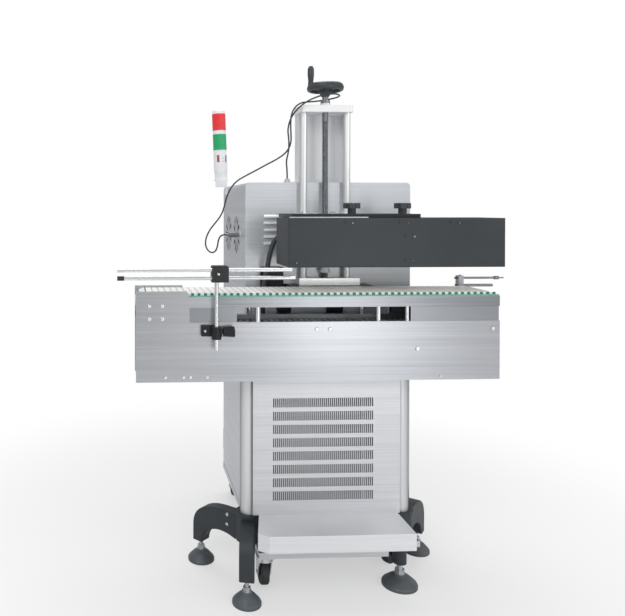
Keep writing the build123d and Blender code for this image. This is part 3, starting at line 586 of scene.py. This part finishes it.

# The tongues use a darker copy of the strip's green: painted shade in the gaps between the stems.
shaded_tongue_green = mottled(
    "shaded_tongue_green", matt_plastic, (150, 150, 150), shade(40, 104, 86), shade(76, 142, 122), 0.4, 0.2
)
first_tongue, last_tongue = 7, 54
tongue_half = 4.2
tongues = []
for index in range(first_tongue, last_tongue + 1):
    x = link_start + index * link_pitch
    tongues.append(slab(x - tongue_half, x + tongue_half, front=5.4, back=6.8, low=880.5, high=slat_top))
gather("strip_tongues", tongues, shaded_tongue_green, "frame", None)


# Spacer posts and the gantry's columns: ground round bar of polished steel, the columns with a hard
# chrome plating. The columns' colour darkens along their outlines as a painted dark reflection.
polished = mottled(
    "polished_bar", {"Metallic": 1.0}, (120, 120, 6), shade(222, 224, 226), shade(246, 247, 248), 0.18, 0.05
)
dress(polished, "spacer_posts")

chrome = Finish("hard_chrome", {"Metallic": 0.55})
chrome_haze = chrome.noise((120, 120, 6))
chrome_tone = chrome.between(chrome_haze, shade(236, 238, 240), shade(252, 253, 253))
# Painted reflection: the columns' colour goes dark where they turn away.
chrome.feed("Base Color", chrome.between(chrome.turned_away(2.6), chrome_tone, shade(84, 89, 93)))
chrome.feed("Roughness", chrome_haze * 0.12 + 0.26)
dress(chrome, "guide_columns")


# Gantry: black-painted bracket with a cheek in front of the cabinet, milled aluminium carriage and
# top plate, a base block painted light against the head's shadow, and a folded stainless tower
# behind the columns.
black_paint = mottled(
    "black_paint",
    {"Specular IOR Level": 0.35},
    (500, 500, 500),
    shade(17, 20, 22),
    shade(32, 36, 39),
    0.3,
    0.2,
    (0.0002, 0.3),
)
dress(black_paint, "gantry_bracket")
cheek = slab(left=-126, right=-51, front=236, back=249.8, low=866, high=943)
gather("bracket_cheek", [cheek], black_paint, "frame", None)

milled = mottled(
    "milled_aluminium",
    {"Metallic": 0.15},
    (5, 260, 260),
    shade(238, 239, 241),
    shade(254, 254, 255),
    0.25,
    0.15,
    (0.0001, 0.4),
)
dress(milled, "carriage", "top_plate")
# The base block's light colour is painted light against the shadow of the head above it.
lit_block_steel = brushed("lit_block_steel", shade(232, 234, 236), shade(250, 251, 252), (3, 3, 300), 0.3)
dress(lit_block_steel, "base_block")
tower_steel = brushed(
    "tower_steel", shade(222, 224, 227), shade(250, 251, 252), (200, 200, 3), 0.55, metallic=0.25
)
dress(tower_steel, "gantry_tower")


# Lead screw: a trapezoidal thread rolled on dark oiled steel, plain at its upper end, with a
# thrust collar above the top plate.
screw_steel = mottled(
    "screw_steel", {"Metallic": 1.0}, (160, 160, 160), shade(92, 95, 98), shade(168, 171, 174), 0.22, 0.2
)
screw_x, screw_y = 85.0, 230.0
core_radius = 8.2
thread_depth = 1.75
thread_pitch = 5.0
thread_steps = 6
thread_sides = 20
thread_low, thread_high = 900.0, 1420.0
rows = int((thread_high - thread_low) / thread_pitch * thread_steps) + 1
points = []
for row in range(rows):
    z = thread_low + row * thread_pitch / thread_steps
    for side in range(thread_sides):
        angle = 2 * math.pi * side / thread_sides
        phase = (z / thread_pitch - side / thread_sides) % 1.0
        rise = min(max(abs(phase - 0.5) * 4 - 0.5, 0.0), 1.0)
        radius = core_radius + thread_depth * rise
        x = screw_x + radius * math.cos(angle)
        y = screw_y + radius * math.sin(angle)
        points.append(spot(x, y, z))
thread_form = points, rings(rows, thread_sides)

shank_radius, collar_radius = 9.9, 15.0
collar_low, collar_high, shank_end = 58.4, 68.0, 80.0
shank_profile = [
    (9.6, 0), (shank_radius, 0.5), (shank_radius, collar_low), (collar_radius, collar_low),
    (collar_radius, collar_high), (shank_radius, collar_high), (shank_radius, shank_end),
]
shank = lathe(shank_profile, spot(screw_x, screw_y, thread_high), (0, 0, 1))
lead_thread = gather("lead_thread", [thread_form, shank], screw_steel, "screw", 40)
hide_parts("lead_screw")


# Handwheel with its turning handle, and the two star knobs of the clamp plate: black glass-filled
# plastic. The clamp plate below the knobs is painted steel.
dress(moulded, "handwheel", "wheel_handle", "star_knob_left", "star_knob_right")
dress(black_paint, "clamp_plate")


# Cap screws in the top of the carriage: zinc-plated socket heads in one row. In front of them a thin
# strip of bright steel along the clamp plate's front edge is a painted highlight.
carriage_top = 1119
cap_screw_y = 202
cap_profile = [(6.2, -0.3), (6.2, 6.2), (5.6, 7), (3.4, 7), (3.2, 3.4), (0.05, 3.2)]
cap_screws = []
for x in (-2, 45, 102, 131, 172):
    cap_screws.append(lathe(cap_profile, spot(x, cap_screw_y, carriage_top), (0, 0, 1)))
gather("carriage_screws", cap_screws, zinc, "lift")
# Painted highlight along the clamp plate's front edge.
edge_highlight = slab(left=-86, right=151, front=20.6, back=21.9, low=1107.4, high=1110.4)
gather("clamp_plate_edge_highlight", [edge_highlight], panel_steel, "lift", None)


# Sealing head: welded sheet box, powder coated slate grey, with small countersunk screws. The
# coil plate below it is a pale laminate.
head_left = -93.0
corner_shade = 1.6
coat_edge = 964.5
head_face = 0.4
head_coat = Finish("head_coat", {"Specular IOR Level": 0.4})
coat_peel = head_coat.noise((650, 650, 650))
coat_cloud = head_coat.noise((5, 5, 7))
coat_tone = head_coat.between(coat_cloud, shade(41, 47, 50), shade(56, 62, 66))
# Painted shade: a darker line down the front's left corner and along its lower edge.
corner = abs(head_coat.along("X") - (mid_x + head_left) / 1000) < corner_shade / 1000
lower_edge = head_coat.along("Z") < coat_edge / 1000
at_front = head_coat.along("Y") < (front_y + head_face) / 1000
edge_shade_mask = (corner + lower_edge > 0.5) * at_front
head_coat.feed("Base Color", head_coat.between(edge_shade_mask, coat_tone, shade(26, 31, 34)))
head_coat.feed("Roughness", coat_peel * 0.15 + 0.38)
head_coat.bump(coat_peel, 0.0002, 0.35)
dress(head_coat, "head_housing")

laminate = mottled(
    "laminate", matt_plastic, (200, 200, 200), shade(196, 190, 172), shade(222, 217, 202), 0.4, 0.2
)
dress(laminate, "sealing_coil")

head_places = [
    (-70, 975.5, 2.4), (96, 1092.5, 2.8), (262, 1092.5, 1.8), (416, 1092.5, 2.4), (281, 1052.5, 3.8),
    (276, 982, 1.8),
]
low_head = 1.2
screw_depth = -2.0
head_screws = []
for x, z, radius in head_places:
    head_screws.append(lathe(button_head(radius, low_head), spot(x, screw_depth, z), (0, -1, 0)))
gather("head_screws", head_screws, screw_steel, "head")


# Infeed guide: chrome post with a black cast clamp, carrying two polished rods. Post and clamp are
# one solid, told apart by height, and so are the rods and the black cap on the lower one's end.
dress(black_paint, "clamp_knob", "infeed_clamp")

clamp_low = 923.8
guide = Finish("guide_post", {"Specular IOR Level": 0.5})
clamp_mask = guide.along("Z") > clamp_low / 1000
guide_grain = guide.noise((500, 500, 500))
cast_black = guide.between(guide_grain, shade(18, 21, 23), shade(34, 38, 41))
bright = guide.between(guide_grain, shade(228, 230, 232), shade(244, 245, 246))
guide.feed("Base Color", guide.between(clamp_mask, bright, cast_black))
guide.feed("Metallic", 1 - clamp_mask)
guide.feed("Roughness", clamp_mask * 0.2 + guide_grain * 0.05 + 0.18)
dress(guide, "infeed_post")

cap_right = -574.0
between_rods = 948.0
rod_steel = Finish("rod_steel", {})
rod_haze = rod_steel.noise((6, 300, 300))
at_end = rod_steel.along("X") < (mid_x + cap_right) / 1000
cap_mask = at_end * (rod_steel.along("Z") < between_rods / 1000)
rod_tone = rod_steel.between(rod_haze, shade(230, 232, 234), shade(248, 249, 250))
rod_steel.feed("Base Color", rod_steel.between(cap_mask, rod_tone, shade(38, 41, 44)))
rod_steel.feed("Metallic", 1 - cap_mask)
rod_steel.feed("Roughness", rod_haze * 0.04 + 0.22 + cap_mask * 0.25)
dress(rod_steel, "infeed_rods")

clamp_bolt = lathe(button_head(4, 2.4), spot(-306, -48, 948), (0, -1, 0))
side_clamp_bolt = lathe(button_head(4, 2), spot(-340, -12, 780), (0, -1, 0))
gather("guide_bolts", [clamp_bolt], zinc, "guide_post")
gather("side_clamp_bolts", [side_clamp_bolt], zinc, "frame")


# Outfeed guide and cable plug: rods and a connector shell of dark machined steel, without plating.
# They have the lead screw's finish.
dress(screw_steel, "outfeed_rods", "cable_plug")


# Signal tower: white moulded base with a sounder, a green and a red lens with vertical ribs. The
# sounder's slots open to the front: an orange-brown one, a pair of dots and a dark one.
white_moulding = moulded_colour("white_moulding", shade(234, 237, 240), shade(252, 253, 254), 0.3)
dress(white_moulding, "tower_housing")
tower_x, tower_y, tower_floor, tower_lean = -194.0, 655.0, 1247.0, -0.04
tower_radius = 26.0
lens_ribs = 40
red_middle, green_middle = 1470, 1392


def tower_axis(z):
    """Middle of the leaning tower at a height."""
    return tower_x + tower_lean * (z - tower_floor)


def lens(name, height, dark, light):
    """Clear coloured lens with vertical ribs round the tower's axis."""
    glass = Finish(name, {"Specular IOR Level": 0.5, "Coat Weight": 0.4, "Coat Roughness": 0.08})
    x = glass.along("X") - (mid_x + tower_axis(height)) / 1000
    y = glass.along("Y") - (front_y + tower_y) / 1000
    rib = (x.maths("ARCTAN2", x, y) * lens_ribs).sine()
    glass.feed("Base Color", glass.between(rib * 0.5 + 0.5, dark, light))
    glass.feed("Roughness", abs(rib) * 0.1 + 0.14)
    glass.bump(rib, 0.0006, 0.6)
    return glass


dress(lens("lens_red", red_middle, shade(240, 28, 36), shade(255, 52, 60)), "tower_lens_red")
dress(lens("lens_green", green_middle, shade(8, 160, 94), shade(32, 192, 122)), "tower_lens_green")


def tower_slot(angle, width, low, high):
    """A patch on the sounder's round wall, at an angle from the front."""
    steps = 4
    patch_radius = tower_radius + 0.25
    points = []
    for z in (low, high):
        for step in range(steps + 1):
            turn = math.radians(angle) + (step / steps - 0.5) * width / tower_radius
            x = tower_axis(z) + patch_radius * math.sin(turn)
            points.append(spot(x, tower_y - patch_radius * math.cos(turn), z))
    row = steps + 1
    return points, [(step, step + 1, step + 1 + row, step + row) for step in range(steps)]


sounder_low, sounder_high = 1314, 1341
sounder_orange = moulded_colour("sounder_orange", shade(150, 74, 48), shade(176, 98, 66), 0.4)
orange_slot = tower_slot(angle=-27, width=10, low=sounder_low, high=sounder_high)
gather("sounder_window", [orange_slot], sounder_orange, "frame")
# The pair of dots and the dark slot are black patches of painted shade in the sounder's openings.
upper_dot = tower_slot(angle=14, width=3, low=1328, high=1331)
lower_dot = tower_slot(angle=14, width=3, low=1316, high=1319)
dark_slot_shade = tower_slot(angle=46, width=6, low=sounder_low, high=sounder_high)
gather("sounder_slot_shade", [upper_dot, lower_dot, dark_slot_shade], black_paint, "frame")


# Signal cable: round grey-black sheathed lead, looped under the handwheel and back down to its
# plug in the cabinet's wall. It is stiff enough to hold its bends.
sheath = mottled(
    "cable_sheath",
    {"Specular IOR Level": 0.5},
    (300, 300, 300),
    shade(40, 45, 49),
    shade(66, 72, 76),
    0.3,
    0.2,
)


def route_curve(name, route, radius):
    """An open NURBS curve whose control points are the route's places."""
    data = bpy.data.curves.new(name, "CURVE")
    data.dimensions = "3D"
    spline = data.splines.new("NURBS")
    spline.points.add(len(route) - 1)
    for point, place in zip(spline.points, route):
        point.co = (*spot(*place), 1)
    spline.order_u = 3
    spline.use_endpoint_u = True
    data.resolution_u = 6
    data.bevel_depth = radius
    data.bevel_resolution = 4
    data.use_fill_caps = True
    curve = bpy.data.objects.new(name, data)
    bpy.context.scene.collection.objects.link(curve)
    return curve


cable_route = [
    (-31, 268, 1234), (-31, 268, 1262), (-37, 259, 1292), (-30, 250, 1326), (-32, 241, 1362),
    (-39, 232, 1392), (-34, 220, 1424), (-20, 202, 1452), (12, 186, 1480), (60, 182, 1499),
    (104, 190, 1505), (131, 217, 1504), (132, 248, 1502), (107, 275, 1499), (70, 281, 1494),
    (38, 270, 1490), (12, 257, 1486), (-10, 252, 1470), (-22, 252, 1445), (-23, 256, 1415),
    (-20, 262, 1386), (-18, 266, 1352), (-32, 270, 1322), (-62, 276, 1300), (-96, 292, 1282),
    (-128, 316, 1263), (-157, 342, 1247), (-183, 364, 1231), (-202, 382, 1206), (-214, 392, 1176),
    (-221, 396, 1143), (-232, 394, 1112), (-253, 389, 1086), (-276, 383, 1059), (-290, 377, 1029),
    (-291, 370, 1002), (-277, 364, 982), (-259, 358, 984), (-251, 354, 1005), (-249, 352, 1028),
    (-238, 352, 1045), (-222, 352, 1045),
]
cable_radius = 0.0026
cable = route_curve("signal_lead", cable_route, cable_radius)
cable.data.materials.append(sheath.material)
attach(cable, "frame")
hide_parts("signal_cable")
spot(-31, 268, 1234)


# Conduit: black corrugated plastic hose with the coil's leads, from the carriage down into the
# cabinet's front.
conduit_route = [
    (-12, 214, 1060), (-50, 214, 1060), (-84, 214, 1036), (-101, 213, 992), (-109, 212, 944),
    (-119, 212, 896), (-124, 214, 846), (-124, 214, 790),
]
conduit_sides = 20
conduit_radius = 0.0083
corrugation = 0.0007
corrugation_pitch = 0.0045
guide_line = route_curve("conduit_line", conduit_route, 0.0)
guide_line.data.resolution_u = 40
line_mesh = bpy.data.meshes.new_from_object(guide_line)
line = [vertex.co.copy() for vertex in line_mesh.vertices]
bpy.data.objects.remove(guide_line)
backward = Vector((0, 1, 0))
travelled = 0.0
points = []
for index, place in enumerate(line):
    before, after = line[max(index - 1, 0)], line[min(index + 1, len(line) - 1)]
    heading = (after - before).normalized()
    side_way = (backward - heading * backward.dot(heading)).normalized()
    other_way = heading.cross(side_way)
    travelled += (place - before).length
    radius = conduit_radius + corrugation * math.cos(2 * math.pi * travelled / corrugation_pitch)
    for side in range(conduit_sides):
        angle = 2 * math.pi * side / conduit_sides
        points.append(place + (side_way * math.cos(angle) + other_way * math.sin(angle)) * radius)
conduit = mesh_piece("coil_conduit", points, rings(len(line), conduit_sides), moulded, "frame", 60)
# Loose again, not parented to any body.
conduit.parent = None
spot(-12, 214, 1060)
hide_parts("head_conduit")
spot(-120, 214, 860)
spot(-60, 214, 1050)
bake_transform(conduit)


# Studio: a pale floor that fades to white away from the machine, white all round, and five soft
# lamps: three in front, one low and one overhead.
fade_start, fade_end = 0.7, 1.8
world_strength = 0.48
floor = Finish("floor", {"Base Color": (0.82, 0.82, 0.82, 1), "Roughness": 0.6, "Specular IOR Level": 0.2})
out = floor.node("ShaderNodeVectorMath", {"operation": "LENGTH"}, {0: floor.where(1, 1, 0)}, "Value")
near = floor.node(
    "ShaderNodeMapRange",
    {"interpolation_type": "SMOOTHSTEP"},
    {"Value": out, "From Min": fade_start, "From Max": fade_end, "To Min": 1.0, "To Max": 0.0},
)
seen_by_camera = floor.node("ShaderNodeLightPath", {}, {}, "Is Camera Ray")
white = floor.node("ShaderNodeEmission", {}, {"Color": (1, 1, 1, 1), "Strength": 1.0})
lit = Wire(floor, floor.shader.outputs["BSDF"])
whiteness = seen_by_camera * (1 - near * 0.5)
mixed = floor.node("ShaderNodeMixShader", {}, {0: whiteness, 1: lit, 2: white})
floor.tree.links.new(mixed.socket, floor.tree.nodes["Material Output"].inputs["Surface"])
floor_half = 30
floor_height = -0.0005
floor_corners = [
    (x * floor_half, y * floor_half, floor_height) for x, y in ((-1, -1), (1, -1), (1, 1), (-1, 1))
]
ground_mesh = bpy.data.meshes.new("studio_floor")
ground_mesh.from_pydata(floor_corners, [], [(0, 1, 2, 3)])
ground = bpy.data.objects.new("studio_floor", ground_mesh)
bpy.context.scene.collection.objects.link(ground)
ground_mesh.materials.append(floor.material)
ground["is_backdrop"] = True

world = bpy.data.worlds.new("studio")
bpy.context.scene.world = world
world.use_nodes = True
world_nodes, world_links = world.node_tree.nodes, world.node_tree.links
plain = world_nodes["Background"]
plain.inputs["Color"].default_value = (1, 1, 1, 1)
plain.inputs["Strength"].default_value = world_strength
shown = world_nodes.new("ShaderNodeBackground")
shown.inputs["Color"].default_value = (1, 1, 1, 1)
shown.inputs["Strength"].default_value = 1.0
ray = world_nodes.new("ShaderNodeLightPath")
seen = world_nodes.new("ShaderNodeMath")
seen.operation = "MAXIMUM"
world_links.new(ray.outputs["Is Camera Ray"], seen.inputs[0])
world_links.new(ray.outputs["Is Transmission Ray"], seen.inputs[1])
backs = world_nodes.new("ShaderNodeMixShader")
world_links.new(seen.outputs[0], backs.inputs[0])
world_links.new(plain.outputs[0], backs.inputs[1])
world_links.new(shown.outputs[0], backs.inputs[2])
world_links.new(backs.outputs[0], world_nodes["World Output"].inputs["Surface"])

lamp_target = Vector((0, 0, 0.8))


def softbox(name, place, width, height, energy):
    """A soft lamp that faces the machine's middle."""
    data = bpy.data.lights.new(name, "AREA")
    data.shape = "RECTANGLE"
    data.size, data.size_y = width, height
    data.energy = energy
    lamp = bpy.data.objects.new(name, data)
    bpy.context.scene.collection.objects.link(lamp)
    lamp.location = place
    aim = lamp_target - Vector(place)
    lamp.rotation_euler = aim.to_track_quat("-Z", "Y").to_euler()


softbox("key_lamp", (-2.2, -3.4, 3.4), width=2.2, height=2.2, energy=60)
softbox("strip_lamp", (1.0, -3.4, 0.9), width=0.6, height=1.8, energy=10)
softbox("low_lamp", (0.9, -3.0, 0.35), width=1.2, height=0.5, energy=1.6)
softbox("fill_lamp", (3.2, -2.6, 2.4), width=2.0, height=2.0, energy=30)
softbox("top_lamp", (0.2, 0.6, 4.2), width=2.4, height=2.4, energy=70)


# Camera: stands to the left of the machine's middle, a little above the sealing head, and looks
# almost straight at the conveyor. Its shift brings the machine into the photo's frame.
photo_width = 625
focal_length = 665.7
downward, rightward = 0.51, 2.41
camera_data = bpy.data.cameras.new("camera")
camera_data.sensor_width = 36.0
camera_data.lens = focal_length / photo_width * camera_data.sensor_width
camera_data.shift_x = 0.26
camera_data.shift_y = -0.15
camera = bpy.data.objects.new("camera", camera_data)
bpy.context.scene.collection.objects.link(camera)
camera.location = spot(-580.3, -1927.5, 1135.6)
camera.rotation_euler = (math.radians(90 - downward), 0, math.radians(-rightward))
bpy.context.scene.camera = camera
bpy.context.scene.view_settings.view_transform = "Standard"

shown_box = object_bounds()
sizes = {"cad": [list(corner) for corner in cad_box], "visual": [list(corner) for corner in shown_box]}
